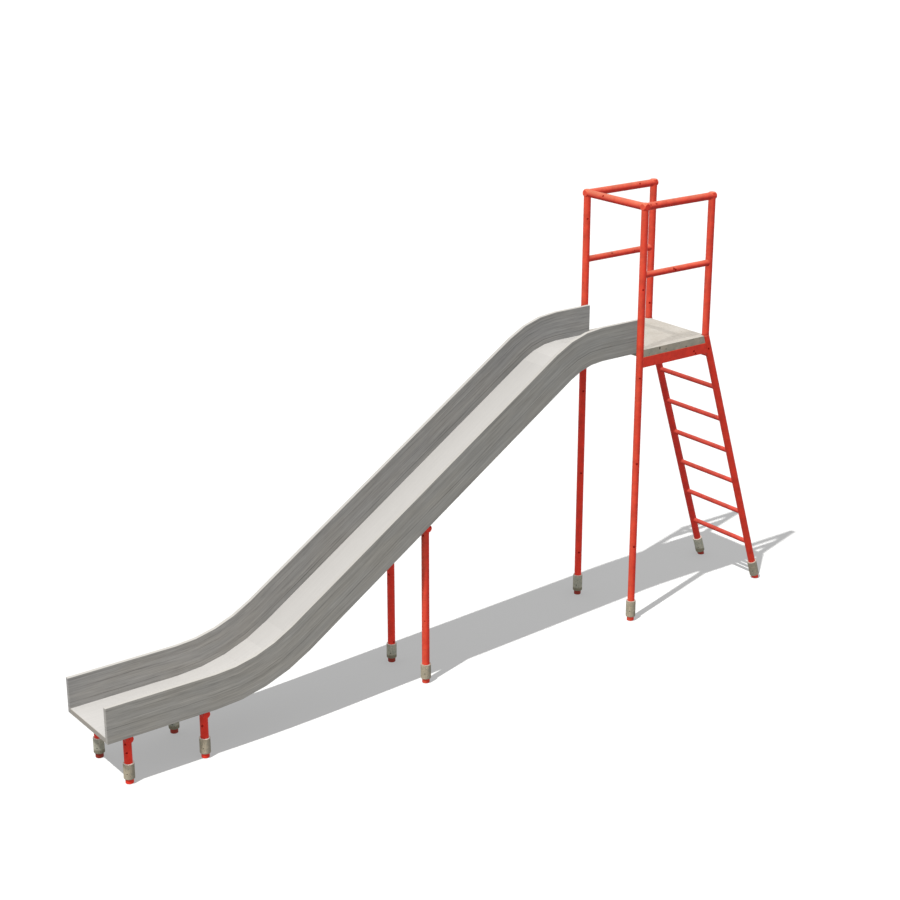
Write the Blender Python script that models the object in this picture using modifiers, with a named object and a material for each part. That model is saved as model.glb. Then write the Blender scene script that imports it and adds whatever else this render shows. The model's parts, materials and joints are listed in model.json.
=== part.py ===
# Playground slide: a tube frame with a ladder, a railed platform and one straight chute.
# Metres, +Z up. The origin is on the ground, under the middle of the whole slide.
# +X points from the run-out to the ladder. Left is -Y, the left hand of a rider going down.

import math

import bmesh
import bpy
from mathutils import Matrix, Vector

# Tubes, by outer radius
TUBE_RADIUS = 0.0255
MID_RAIL_RADIUS = 0.0212
RUNG_RADIUS = 0.0169
TUBE_SIDES = 24
GAP = 0.0003
CUTTER_OVERRUN = 1.1

# Frame, with lengths along X measured from the axis of the front posts
POST_SPREAD = 0.2885
REAR_POST_REACH = 0.6155
LADDER_FOOT_REACH = 1.267
PLATFORM_HEIGHT = 2.005
TOP_RAIL_HEIGHT = 2.984
MID_RAIL_HEIGHT = 2.521
KNUCKLE_PROUD = 0.0006
KNUCKLE_NECK = 0.002

# Ladder
RUNG_COUNT = 7
FIRST_RUNG_HEIGHT = 0.3105
RUNG_PITCH = 0.257

# Platform
BOARD_THICKNESS = 0.056
BEARER_THICKNESS = 0.024
BEARER_DEPTH = 0.0735

# Chute, measured on the top face of its bed
CHUTE_HALF_WIDTH = 0.2567
SIDE_THICKNESS = 0.0255
SIDE_HEIGHT = 0.200
BED_THICKNESS = 0.033
SLOPE = math.radians(33.05)
TOP_CORNER_REACH = 0.4647
TOP_BEND_RADIUS = 0.524
LOW_BEND_RADIUS = 1.204
TOP_BEND_LENGTHS = 3
LOW_BEND_LENGTHS = 4
RUNOUT_HEIGHT = 0.360
RUNOUT_END_REACH = 4.080

# Chute supports
MID_SUPPORT_REACH = 1.742
REAR_LOW_SUPPORT_REACH = 3.411
FRONT_LOW_SUPPORT_REACH = 3.926
SUPPORT_SPREAD = 0.196
CROSS_TUBE_HALF_LENGTH = 0.236

# Collars round the feet
SLEEVE_RADIUS = 0.0347
SLEEVE_FOOT = 0.031
SLEEVE_HEIGHT = 0.102
TALL_SLEEVE_HEIGHT = 0.121
SLEEVE_TOP_CHAMFER = 0.0015
SLEEVE_FOOT_CHAMFER = 0.004

LADDER_LEAN = math.atan((LADDER_FOOT_REACH - REAR_POST_REACH) / PLATFORM_HEIGHT)
LADDER_TOE = LADDER_FOOT_REACH + TUBE_RADIUS / math.cos(LADDER_LEAN)
FRONT_POST_X = (RUNOUT_END_REACH - LADDER_TOE) / 2
REAR_POST_X = FRONT_POST_X + REAR_POST_REACH
SIDES = {"left": -1, "right": 1}
ROUND_SHADING = math.radians(35)
FLAT_SHADING = math.radians(5)

RED_PAINT = ("red_paint", (0.72, 0.075, 0.035), 0.38, 0.0)
SIDE_STEEL = ("grey_steel", (0.26, 0.26, 0.25), 0.45, 0.6)
BED_STEEL = ("pale_bed", (0.72, 0.70, 0.66), 0.35, 0.1)
BOARD_STONE = ("cast_board", (0.55, 0.52, 0.45), 0.85, 0.0)
SLEEVE_STONE = ("cast_sleeve", (0.36, 0.33, 0.26), 0.85, 0.0)


def clear_scene():
    for item in list(bpy.data.objects):
        bpy.data.objects.remove(item, do_unlink=True)


def make_collection(name):
    collection = bpy.data.collections.new(name)
    bpy.context.scene.collection.children.link(collection)
    return collection


def get_material(spec):
    name, colour, roughness, metallic = spec
    material = bpy.data.materials.get(name)
    if material:
        return material
    material = bpy.data.materials.new(name)
    material.use_nodes = True
    shader = material.node_tree.nodes["Principled BSDF"]
    shader.inputs["Base Color"].default_value = (*colour, 1.0)
    shader.inputs["Roughness"].default_value = roughness
    shader.inputs["Metallic"].default_value = metallic
    return material


def add_object(name, bm, spec, collection, sharp_angle=ROUND_SHADING):
    mesh = bpy.data.meshes.new(name)
    bm.to_mesh(mesh)
    bm.free()
    if spec:
        mesh.materials.append(get_material(spec))
    mesh.shade_smooth()
    mesh.set_sharp_from_angle(angle=sharp_angle)
    item = bpy.data.objects.new(name, mesh)
    collection.objects.link(item)
    return item


def slide_ring(verts, direction, point, normal):
    # Moves one end of a tube along its own axis until it lies on a cutting plane
    for vert in verts:
        distance = (point - vert.co).dot(normal) / direction.dot(normal)
        vert.co += direction * distance


def tube_mesh(start, end, radius, start_normal=None, end_normal=None):
    start = Vector(start)
    end = Vector(end)
    direction = (end - start).normalized()
    bm = bmesh.new()
    bmesh.ops.create_cone(
        bm, cap_ends=True, segments=TUBE_SIDES,
        radius1=radius, radius2=radius, depth=(end - start).length)
    low_ring = [vert for vert in bm.verts if vert.co.z < 0]
    high_ring = [vert for vert in bm.verts if vert.co.z > 0]
    turn = Vector((0, 0, 1)).rotation_difference(direction).to_matrix().to_4x4()
    place = Matrix.Translation((start + end) / 2) @ turn
    bmesh.ops.transform(bm, matrix=place, verts=bm.verts)
    if start_normal:
        slide_ring(low_ring, direction, start, Vector(start_normal))
    if end_normal:
        slide_ring(high_ring, direction, end, Vector(end_normal))
    return bm


def tube(name, start, end, radius=TUBE_RADIUS, start_normal=None, end_normal=None):
    bm = tube_mesh(start, end, radius, start_normal, end_normal)
    return add_object(name, bm, RED_PAINT, parts)


def helper_tube(name, start, end, radius=TUBE_RADIUS + GAP):
    item = add_object(name, tube_mesh(start, end, radius), None, cutters)
    item.hide_render = True
    item.display_type = "WIRE"
    return item


def add_boolean(item, helper, operation):
    modifier = item.modifiers.new(helper.name, "BOOLEAN")
    modifier.operation = operation
    modifier.solver = "EXACT"
    modifier.object = helper


def box(name, low, high, spec):
    low = Vector(low)
    high = Vector(high)
    bm = bmesh.new()
    bmesh.ops.create_cube(bm, size=1.0)
    bmesh.ops.scale(bm, vec=high - low, verts=bm.verts)
    bmesh.ops.translate(bm, vec=(high + low) / 2, verts=bm.verts)
    return add_object(name, bm, spec, parts)


def ladder_point(height, y):
    # A point on the axis of a ladder rail, which leans away from the platform
    x = REAR_POST_X + (PLATFORM_HEIGHT - height) * math.tan(LADDER_LEAN)
    return Vector((x, y, height))


def make_front_post(side, sign):
    y = sign * POST_SPREAD
    top = TOP_RAIL_HEIGHT + TUBE_RADIUS + KNUCKLE_PROUD
    post = tube(f"front_post_{side}", (FRONT_POST_X, y, 0), (FRONT_POST_X, y, top))
    outer = TUBE_RADIUS + KNUCKLE_PROUD
    inner = TUBE_RADIUS + KNUCKLE_NECK
    side_stub = helper_tube(
        f"stub_side_{side}",
        (FRONT_POST_X - outer, y, TOP_RAIL_HEIGHT),
        (FRONT_POST_X + inner, y, TOP_RAIL_HEIGHT), TUBE_RADIUS)
    front_stub = helper_tube(
        f"stub_front_{side}",
        (FRONT_POST_X, y + sign * outer, TOP_RAIL_HEIGHT),
        (FRONT_POST_X, y - sign * inner, TOP_RAIL_HEIGHT), TUBE_RADIUS)
    add_boolean(post, side_stub, "UNION")
    add_boolean(post, front_stub, "UNION")


def make_rear_post(side, sign):
    y = sign * POST_SPREAD
    top = TOP_RAIL_HEIGHT + TUBE_RADIUS + KNUCKLE_PROUD
    mitre = (math.sin(LADDER_LEAN / 2), 0, -math.cos(LADDER_LEAN / 2))
    post = tube(
        f"rear_post_{side}", (REAR_POST_X, y, PLATFORM_HEIGHT + GAP),
        (REAR_POST_X, y, top), start_normal=mitre)
    stub = helper_tube(
        f"stub_rear_{side}",
        (REAR_POST_X - TUBE_RADIUS - KNUCKLE_NECK, y, TOP_RAIL_HEIGHT),
        (REAR_POST_X + TUBE_RADIUS + KNUCKLE_PROUD, y, TOP_RAIL_HEIGHT), TUBE_RADIUS)
    add_boolean(post, stub, "UNION")
    tube(
        f"ladder_rail_{side}", ladder_point(0, y), ladder_point(PLATFORM_HEIGHT, y),
        start_normal=(0, 0, 1), end_normal=mitre)


def make_top_rails():
    neck = TUBE_RADIUS + KNUCKLE_NECK + GAP
    for side, sign in SIDES.items():
        y = sign * POST_SPREAD
        tube(
            f"top_rail_{side}", (FRONT_POST_X + neck, y, TOP_RAIL_HEIGHT),
            (REAR_POST_X - neck, y, TOP_RAIL_HEIGHT))
    tube(
        "top_rail_front", (FRONT_POST_X, neck - POST_SPREAD, TOP_RAIL_HEIGHT),
        (FRONT_POST_X, POST_SPREAD - neck, TOP_RAIL_HEIGHT))


def make_mid_rails():
    for side, sign in SIDES.items():
        y = sign * POST_SPREAD
        rail = tube(
            f"mid_rail_{side}", (FRONT_POST_X, y, MID_RAIL_HEIGHT),
            (REAR_POST_X, y, MID_RAIL_HEIGHT), MID_RAIL_RADIUS)
        add_boolean(rail, front_cutters[side], "DIFFERENCE")
        add_boolean(rail, rear_cutters[side], "DIFFERENCE")


def make_rungs():
    for index in range(RUNG_COUNT):
        height = FIRST_RUNG_HEIGHT + index * RUNG_PITCH
        rung = tube(
            f"rung_{index + 1}", ladder_point(height, -POST_SPREAD),
            ladder_point(height, POST_SPREAD), RUNG_RADIUS)
        for side in SIDES:
            add_boolean(rung, ladder_cutters[side], "DIFFERENCE")


def make_platform():
    underside = PLATFORM_HEIGHT - BOARD_THICKNESS
    half_width = POST_SPREAD + BEARER_THICKNESS / 2
    board = box(
        "platform_board", (FRONT_POST_X, -half_width, underside),
        (REAR_POST_X, half_width, PLATFORM_HEIGHT), BOARD_STONE)
    for side, sign in SIDES.items():
        add_boolean(board, front_cutters[side], "DIFFERENCE")
        add_boolean(board, ladder_cutters[side], "DIFFERENCE")
        centre = sign * POST_SPREAD
        bearer_top = underside - GAP
        bearer = box(
            f"platform_bearer_{side}",
            (FRONT_POST_X, centre - BEARER_THICKNESS / 2, bearer_top - BEARER_DEPTH),
            (REAR_POST_X + TUBE_RADIUS, centre + BEARER_THICKNESS / 2, bearer_top), RED_PAINT)
        add_boolean(bearer, front_cutters[side], "DIFFERENCE")
        add_boolean(bearer, ladder_cutters[side], "DIFFERENCE")


def slide_line():
    # Stations along the top face of the bed, each with its place and its slope.
    # Each bend is a few short flat lengths, not a smooth curve.
    bottom_corner_reach = TOP_CORNER_REACH + (PLATFORM_HEIGHT - RUNOUT_HEIGHT) / math.tan(SLOPE)
    top_tangent = TOP_BEND_RADIUS * math.tan(SLOPE / 2)
    low_tangent = LOW_BEND_RADIUS * math.tan(SLOPE / 2)
    top_start = TOP_CORNER_REACH - top_tangent
    low_end = bottom_corner_reach + low_tangent
    stations = [(GAP, PLATFORM_HEIGHT, 0.0)]
    for step in range(TOP_BEND_LENGTHS + 1):
        angle = SLOPE * step / TOP_BEND_LENGTHS
        reach = top_start + TOP_BEND_RADIUS * math.sin(angle)
        height = PLATFORM_HEIGHT - TOP_BEND_RADIUS * (1 - math.cos(angle))
        stations.append((reach, height, angle))
    for step in range(LOW_BEND_LENGTHS + 1):
        angle = SLOPE * (1 - step / LOW_BEND_LENGTHS)
        reach = low_end - LOW_BEND_RADIUS * math.sin(angle)
        height = RUNOUT_HEIGHT + LOW_BEND_RADIUS * (1 - math.cos(angle))
        stations.append((reach, height, angle))
    stations.append((RUNOUT_END_REACH, RUNOUT_HEIGHT, 0.0))
    return stations


def swept_plank(name, low, high, near_y, far_y, spec):
    # A box cut across at each station and laid along the slide's line
    stations = slide_line()
    steps = len(stations) - 1
    bm = bmesh.new()
    bmesh.ops.create_cube(bm, size=1.0)
    long_edges = [edge for edge in bm.edges if abs(edge.verts[0].co.x - edge.verts[1].co.x) > 0.5]
    bmesh.ops.subdivide_edges(bm, edges=long_edges, cuts=steps - 1, use_grid_fill=True)
    for vert in bm.verts:
        reach, height, angle = stations[round((0.5 - vert.co.x) * steps)]
        offset = high if vert.co.z > 0 else low
        vert.co.x = FRONT_POST_X - reach - offset * math.sin(angle)
        vert.co.z = height + offset * math.cos(angle)
        vert.co.y = far_y if vert.co.y > 0 else near_y
    return add_object(name, bm, spec, parts, FLAT_SHADING)


def make_chute():
    bed_edge = CHUTE_HALF_WIDTH - SIDE_THICKNESS
    swept_plank("chute_bed", -BED_THICKNESS, 0.0, GAP - bed_edge, bed_edge - GAP, BED_STEEL)
    for side, sign in SIDES.items():
        edges = sorted((sign * bed_edge, sign * CHUTE_HALF_WIDTH))
        swept_plank(f"chute_side_{side}", -BED_THICKNESS, SIDE_HEIGHT, *edges, SIDE_STEEL)


def make_support(name, reach, underside, slope):
    # The cross tube just touches the sloping or level underside of the chute
    x = FRONT_POST_X - reach
    z = underside - (TUBE_RADIUS + GAP) / math.cos(slope)
    half = CROSS_TUBE_HALF_LENGTH
    tube(f"cross_tube_{name}", (x, -half, z), (x, half, z))
    saddle = helper_tube(f"saddle_{name}", (x, -POST_SPREAD, z), (x, POST_SPREAD, z))
    for side, sign in SIDES.items():
        y = sign * SUPPORT_SPREAD
        post = tube(f"{name}_post_{side}", (x, y, 0), (x, y, z))
        add_boolean(post, saddle, "DIFFERENCE")
        make_sleeve(f"{name}_sleeve_{side}", (x, y, 0), 0.0, SLEEVE_HEIGHT)


def make_supports():
    slope_drop = (MID_SUPPORT_REACH - TOP_CORNER_REACH) * math.tan(SLOPE)
    slope_underside = PLATFORM_HEIGHT - slope_drop - BED_THICKNESS / math.cos(SLOPE)
    level_underside = RUNOUT_HEIGHT - BED_THICKNESS
    make_support("mid", MID_SUPPORT_REACH, slope_underside, SLOPE)
    make_support("low_rear", REAR_LOW_SUPPORT_REACH, level_underside, 0.0)
    make_support("low_front", FRONT_LOW_SUPPORT_REACH, level_underside, 0.0)


def make_sleeve(name, foot, lean, height):
    # A collar turned from its own section, set on the tube's axis just above the ground
    inner = TUBE_RADIUS + GAP
    low = SLEEVE_FOOT
    high = SLEEVE_FOOT + height
    section = (
        (SLEEVE_RADIUS - SLEEVE_TOP_CHAMFER, high),
        (SLEEVE_RADIUS, high - SLEEVE_TOP_CHAMFER),
        (SLEEVE_RADIUS, low + SLEEVE_FOOT_CHAMFER),
        (SLEEVE_RADIUS - SLEEVE_FOOT_CHAMFER, low),
        (inner, low),
        (inner, high),
    )
    bm = bmesh.new()
    verts = [bm.verts.new((radius, 0, z)) for radius, z in section]
    for index, vert in enumerate(verts):
        bm.edges.new((vert, verts[(index + 1) % len(verts)]))
    sleeve = add_object(name, bm, SLEEVE_STONE, parts)
    sleeve.location = foot
    sleeve.rotation_euler = (0, -lean, 0)
    screw = sleeve.modifiers.new("turn", "SCREW")
    screw.axis = "Z"
    screw.steps = TUBE_SIDES
    screw.render_steps = TUBE_SIDES
    screw.use_merge_vertices = True
    screw.merge_threshold = 0.0001
    screw.use_smooth_shade = True


def make_frame():
    for side, sign in SIDES.items():
        make_front_post(side, sign)
        make_rear_post(side, sign)
        y = sign * POST_SPREAD
        make_sleeve(f"front_sleeve_{side}", (FRONT_POST_X, y, 0), 0.0, TALL_SLEEVE_HEIGHT)
        make_sleeve(f"ladder_sleeve_{side}", ladder_point(0, y), LADDER_LEAN, TALL_SLEEVE_HEIGHT)
    make_top_rails()
    make_mid_rails()
    make_rungs()
    make_platform()


clear_scene()
parts = make_collection("playground_slide")
cutters = make_collection("playground_slide_cutters")
front_cutters = {}
rear_cutters = {}
ladder_cutters = {}
for side_name, side_sign in SIDES.items():
    post_y = side_sign * POST_SPREAD
    front_cutters[side_name] = helper_tube(
        f"front_saddle_{side_name}", (FRONT_POST_X, post_y, 0),
        (FRONT_POST_X, post_y, TOP_RAIL_HEIGHT))
    rear_cutters[side_name] = helper_tube(
        f"rear_saddle_{side_name}", (REAR_POST_X, post_y, PLATFORM_HEIGHT),
        (REAR_POST_X, post_y, TOP_RAIL_HEIGHT))
    ladder_cutters[side_name] = helper_tube(
        f"ladder_saddle_{side_name}", ladder_point(0, post_y),
        ladder_point(PLATFORM_HEIGHT * CUTTER_OVERRUN, post_y))
make_frame()
make_chute()
make_supports()
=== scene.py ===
import json
import math

import bmesh
import bpy
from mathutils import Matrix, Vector

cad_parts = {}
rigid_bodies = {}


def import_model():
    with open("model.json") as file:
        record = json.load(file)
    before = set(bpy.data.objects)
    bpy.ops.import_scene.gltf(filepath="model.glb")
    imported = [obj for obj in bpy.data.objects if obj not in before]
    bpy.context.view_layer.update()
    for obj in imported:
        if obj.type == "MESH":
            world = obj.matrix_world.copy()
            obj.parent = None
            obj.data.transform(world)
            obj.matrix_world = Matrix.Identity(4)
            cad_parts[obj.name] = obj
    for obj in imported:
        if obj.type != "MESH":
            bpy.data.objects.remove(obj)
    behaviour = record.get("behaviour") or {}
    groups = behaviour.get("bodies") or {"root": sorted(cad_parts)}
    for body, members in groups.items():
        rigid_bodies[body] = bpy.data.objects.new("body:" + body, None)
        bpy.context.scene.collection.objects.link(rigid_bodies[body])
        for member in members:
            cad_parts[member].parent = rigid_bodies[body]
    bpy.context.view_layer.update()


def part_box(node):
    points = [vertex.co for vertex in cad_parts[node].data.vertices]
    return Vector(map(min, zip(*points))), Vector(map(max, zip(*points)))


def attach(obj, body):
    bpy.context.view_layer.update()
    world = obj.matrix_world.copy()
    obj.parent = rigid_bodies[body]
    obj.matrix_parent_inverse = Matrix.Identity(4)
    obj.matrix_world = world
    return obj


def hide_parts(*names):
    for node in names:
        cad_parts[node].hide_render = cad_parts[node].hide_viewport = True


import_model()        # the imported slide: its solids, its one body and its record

# Playground slide: a red tube frame with ladder and railed platform, and one grey chute.
# +X runs from the run-out to the ladder, left is -Y (the near side in the picture).

sides = {"left": -1, "right": 1}


def middle(node):
    low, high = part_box(node)
    return (low + high) / 2


def sizeOf(node):
    low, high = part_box(node)
    return high - low


# Places read from the frame
tubeRadius = sizeOf("mid_post_left").x / 2
midRailRadius = sizeOf("mid_rail_left").z / 2
rungRadius = sizeOf("rung_1").z / 2
frontX = middle("front_sleeve_left").x
postY = middle("front_sleeve_right").y
rearX = 2 * middle("top_rail_left").x - frontX
topRailZ = middle("top_rail_left").z
midRailZ = middle("mid_rail_left").z
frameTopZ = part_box("front_post_left")[1].z
boardLow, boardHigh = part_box("platform_board")
rungNodes = [f"rung_{number}" for number in range(1, 8)]
ladderUp = (middle(rungNodes[-1]) - middle(rungNodes[0])).normalized()
ladderLean = math.atan2(-ladderUp.x, ladderUp.z)
# square to the cut where a rear post meets its ladder rail
mitreWay = Vector((math.sin(ladderLean / 2), 0, -math.cos(ladderLean / 2)))


def ladderPoint(height, y=0.0):
    first = middle(rungNodes[0])
    return Vector((first.x + (height - first.z) * ladderUp.x / ladderUp.z, y, height))


# Modelling helpers

tubes = {
    "sides": 64,
    "gap": 0.0003,         # clearance where one piece is cut to sit on another
    "rim": 0.0022,         # rounding of a cut end
    "bead": 0.0026,        # thickness of a weld
    "ripples": 22,         # ripples round one weld
    "rippleDepth": 0.16,
    "spare": 0.06,         # extra length that a tube has before it is sliced
    "overrun": 0.1,        # how far a cutting tube reaches past the cut
    "sliver": 0.00001,     # corners nearer than this are one
}


def clearSelection():
    if bpy.context.object and bpy.context.object.mode != "OBJECT":
        bpy.ops.object.mode_set(mode="OBJECT")
    bpy.ops.object.select_all(action="DESELECT")


def takeHold(piece):
    clearSelection()
    piece.select_set(True)
    bpy.context.view_layer.objects.active = piece


def fixPlace():
    bpy.ops.object.transform_apply(location=True, rotation=True, scale=True)


def startEdit(piece, kind="EDGE"):
    takeHold(piece)
    bpy.ops.object.mode_set(mode="EDIT")
    bpy.ops.mesh.select_mode(type=kind)
    bpy.ops.mesh.select_all(action="DESELECT")


def endEdit():
    bpy.ops.object.mode_set(mode="OBJECT")


def pick(piece, kind, test):
    # selects, in edit mode, the faces, edges or corners that pass the test
    bm = bmesh.from_edit_mesh(piece.data)
    items = {"FACE": bm.faces, "EDGE": bm.edges, "VERT": bm.verts}[kind]
    for item in items:
        item.select_set(bool(test(item)))
    bm.select_flush_mode()
    bmesh.update_edit_mesh(piece.data)


def applyAll(piece):
    takeHold(piece)
    for modifier in list(piece.modifiers):
        bpy.ops.object.modifier_apply(modifier=modifier.name)


def copyOf(piece, shift=(0, 0, 0)):
    # a second piece from the same model, with a mesh of its own
    takeHold(piece)
    bpy.ops.object.duplicate_move(
        OBJECT_OT_duplicate={"linked": False}, TRANSFORM_OT_translate={"value": shift})
    fixPlace()
    return bpy.context.object


def farCopy(piece):
    # its twin on the right side of the tower
    return copyOf(piece, (0, 2 * postY, 0))


def mirroredCopy(piece):
    # its handed twin on the other side of the slide
    twin = copyOf(piece)
    twin.scale.y = -1
    fixPlace()
    startEdit(twin)
    bpy.ops.mesh.select_all(action="SELECT")
    bpy.ops.mesh.normals_make_consistent(inside=False)
    endEdit()
    return twin


def combine(piece, others, operation):
    # joins other solids to a piece, or cuts them out of it, and takes them away
    for other in others:
        modifier = piece.modifiers.new("combine", "BOOLEAN")
        modifier.operation = operation
        modifier.solver = "EXACT"
        modifier.material_mode = "TRANSFER"
        modifier.object = other
        applyAll(piece)
        bpy.data.objects.remove(other)
    # no slivers along the cut
    startEdit(piece, "VERT")
    bpy.ops.mesh.select_all(action="SELECT")
    bpy.ops.mesh.remove_doubles(threshold=tubes["sliver"])
    bpy.ops.mesh.dissolve_degenerate(threshold=tubes["sliver"])
    pick(piece, "VERT", lambda corner: len(corner.link_edges) == 2)
    bpy.ops.mesh.dissolve_verts()
    endEdit()
    return piece


def addTube(start, end, radius=tubeRadius, corners=tubes["sides"]):
    start = Vector(start)
    end = Vector(end)
    run = end - start
    clearSelection()
    bpy.ops.mesh.primitive_cylinder_add(
        vertices=corners, radius=radius, depth=run.length, location=(start + end) / 2,
        rotation=run.to_track_quat("Z", "Y").to_euler())
    fixPlace()
    return bpy.context.object


def roundEnds(tube, centres, width=tubes["rim"], segments=3):
    # bevels the rim of a tube's end wherever its flat end face is near one of the centres
    startEdit(tube, "FACE")
    pick(tube, "FACE", lambda face: any(
        len(face.verts) > 8 and (face.calc_center_median() - Vector(centre)).length < 0.02
        for centre in centres))
    bpy.ops.mesh.region_to_loop()
    bpy.ops.mesh.bevel(offset=width, segments=segments, affect="EDGES")
    endEdit()
    return tube


def sliceOff(piece, point, normal):
    # cuts a piece flat at a plane and removes what lies beyond it
    startEdit(piece)
    bpy.ops.mesh.select_all(action="SELECT")
    bpy.ops.mesh.bisect(plane_co=point, plane_no=normal, use_fill=True, clear_outer=True)
    endEdit()
    return piece


def ringBead(centre, along, radius, thickness=tubes["bead"]):
    # a weld that runs straight round a tube, with a welder's ripples in it
    along = Vector(along).normalized()
    clearSelection()
    bpy.ops.mesh.primitive_torus_add(
        major_segments=88, minor_segments=10, major_radius=radius, minor_radius=thickness,
        location=centre, rotation=along.to_track_quat("Z", "Y").to_euler())
    bead = bpy.context.object
    fixPlace()
    firstSide = along.orthogonal().normalized()
    secondSide = along.cross(firstSide)
    for corner in bead.data.vertices:
        out = corner.co - Vector(centre)
        turn = math.atan2(out.dot(secondSide), out.dot(firstSide))
        core = (firstSide * math.cos(turn) + secondSide * math.sin(turn)) * radius
        swell = 1 + tubes["rippleDepth"] * math.sin(tubes["ripples"] * turn)
        corner.co = Vector(centre) + core + (out - core) * swell
    return bead


def saddleBead(joint, along, seatAxis, seatRadius, radius, thickness=tubes["bead"]):
    # the same weld where a tube meets the side of another: each point slides out to lie on it
    along = Vector(along).normalized()
    across = Vector(seatAxis).cross(along).normalized()
    bead = ringBead(joint, along, radius, thickness)
    for corner in bead.data.vertices:
        offset = (corner.co - Vector(joint)).dot(across)
        corner.co += along * math.sqrt(max(seatRadius ** 2 - offset ** 2, 0.0))
    return bead


def finishPiece(piece, name, node, material, smoothAngle=32, extraMaterials=(), crease=None):
    # shading, material and the frame's bookkeeping, once a piece has its shape
    finishes = [material, *extraMaterials]
    while len(piece.data.materials) < len(finishes):
        piece.data.materials.append(None)
    for index, finish in enumerate(finishes):
        piece.data.materials[index] = finish
    piece.name = name
    piece.data.name = name
    if material in (redPaint, sleeveStone):
        noteWeather(piece, node)
    # the red frame throws no red glow onto the grey walls
    piece.visible_diffuse = material != redPaint
    takeHold(piece)
    bpy.ops.object.shade_smooth_by_angle(angle=math.radians(smoothAngle))
    if crease:
        crease(piece)
    weighting = piece.modifiers.new("flatter", "WEIGHTED_NORMAL")
    weighting.keep_sharp = True
    applyAll(piece)
    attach(piece, "root")
    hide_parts(node)
    return piece


def finishPair(left, right, name, node):
    # the two red pieces of a pair
    for piece, side in zip((left, right), sides):
        finishPiece(piece, f"{name}_{side}", f"{node}_{side}", redPaint)


# The slide's line

chute = {
    "slope": math.radians(33.05),
    "topCorner": 0.4647,       # reach from the front posts to where the level and the slope would meet
    "topBend": 0.524,
    "lowBend": 1.204,
    "topFlats": 3,             # each bend is a few short flat lengths
    "lowFlats": 4,
    "bedThick": 0.033,
    "wallHeight": 0.200,
    "edgeRound": 0.0022,
    "startGap": 0.0003,
}


def slideStations():
    # along the top of the bed: x, z, slope there, and distance run so far
    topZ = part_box("chute_bed")[1].z
    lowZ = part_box("chute_bed")[0].z + chute["bedThick"]
    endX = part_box("chute_bed")[0].x
    slope = chute["slope"]
    lowCorner = chute["topCorner"] + (topZ - lowZ) / math.tan(slope)
    topStart = chute["topCorner"] - chute["topBend"] * math.tan(slope / 2)
    lowEnd = lowCorner + chute["lowBend"] * math.tan(slope / 2)
    places = [(chute["startGap"], topZ, 0.0)]
    for step in range(chute["topFlats"] + 1):
        angle = slope * step / chute["topFlats"]
        places.append((topStart + chute["topBend"] * math.sin(angle),
                       topZ - chute["topBend"] * (1 - math.cos(angle)), angle))
    for step in range(chute["lowFlats"] + 1):
        angle = slope * (1 - step / chute["lowFlats"])
        places.append((lowEnd - chute["lowBend"] * math.sin(angle),
                       lowZ + chute["lowBend"] * (1 - math.cos(angle)), angle))
    places.append((frontX - endX, lowZ, 0.0))
    stations = []
    run = 0.0
    for index, (reach, z, angle) in enumerate(places):
        if index:
            run += math.hypot(reach - places[index - 1][0], z - places[index - 1][1])
        stations.append((frontX - reach, z, angle, run))
    return stations


stations = slideStations()
wholeRun = stations[-1][3]


# Materials

def addNode(tree, kind, values=None, **settings):
    item = tree.nodes.new(kind)
    for key, value in settings.items():
        setattr(item, key, value)
    for key, value in (values or {}).items():
        item.inputs[key].default_value = value
    return item


def newMaterial(name, colour, roughness, **extra):
    material = bpy.data.materials.new(name)
    material.use_nodes = True
    tree = material.node_tree
    shader = tree.nodes["Principled BSDF"]
    shader.inputs["Base Color"].default_value = (*colour, 1)
    shader.inputs["Roughness"].default_value = roughness
    for key, value in extra.items():
        shader.inputs[key].default_value = value
    return material, tree, shader


def noiseOn(tree, place, scale, detail=4.0, roughness=0.55, stretch=None, shift=0.0):
    # noise read at a place, pulled long or short by the stretch
    if stretch:
        mapping = addNode(tree, "ShaderNodeMapping", {"Scale": stretch, "Location": (shift, shift, 0)})
        tree.links.new(place, mapping.inputs["Vector"])
        place = mapping.outputs["Vector"]
    noise = addNode(tree, "ShaderNodeTexNoise", {"Scale": scale, "Detail": detail, "Roughness": roughness})
    tree.links.new(place, noise.inputs["Vector"])
    return noise.outputs["Fac"]


def remap(tree, value, low, high, newLow=0.0, newHigh=1.0):
    item = addNode(tree, "ShaderNodeMapRange", {
        "From Min": low, "From Max": high, "To Min": newLow, "To Max": newHigh})
    tree.links.new(value, item.inputs["Value"])
    return item.outputs["Result"]


def sums(tree, operation, first, second):
    item = addNode(tree, "ShaderNodeMath", operation=operation)
    for socket, value in zip(item.inputs, (first, second)):
        if isinstance(value, (int, float)):
            socket.default_value = value
        else:
            tree.links.new(value, socket)
    return item.outputs[0]


def blendColour(tree, amount, first, second, mode="MIX"):
    item = addNode(tree, "ShaderNodeMixRGB", blend_type=mode)
    for socket, value in zip(item.inputs, (amount, first, second)):
        if isinstance(value, (int, float)):
            socket.default_value = value
        elif isinstance(value, tuple):
            socket.default_value = (*value, 1)
        else:
            tree.links.new(value, socket)
    return item.outputs["Color"]


def times(tree, first, second):
    return sums(tree, "MULTIPLY", first, second)


def tinted(tree, colour, tint, amount=1.0):
    return blendColour(tree, amount, colour, tint, "MULTIPLY")


def partsOf(tree, vector):
    # a vector's X, Y and Z
    split = addNode(tree, "ShaderNodeSeparateXYZ")
    tree.links.new(vector, split.inputs[0])
    return split.outputs


def measure(tree, operation, vector, fixed):
    # distance from a fixed place, or reach along a fixed way
    item = addNode(tree, "ShaderNodeVectorMath", {1: fixed}, operation=operation)
    tree.links.new(vector, item.inputs[0])
    return item.outputs["Value"]


def noted(tree, note, output="Fac"):
    # what the mesh's corners carry under a name
    return addNode(tree, "ShaderNodeAttribute", attribute_name=note).outputs[output]


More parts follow.
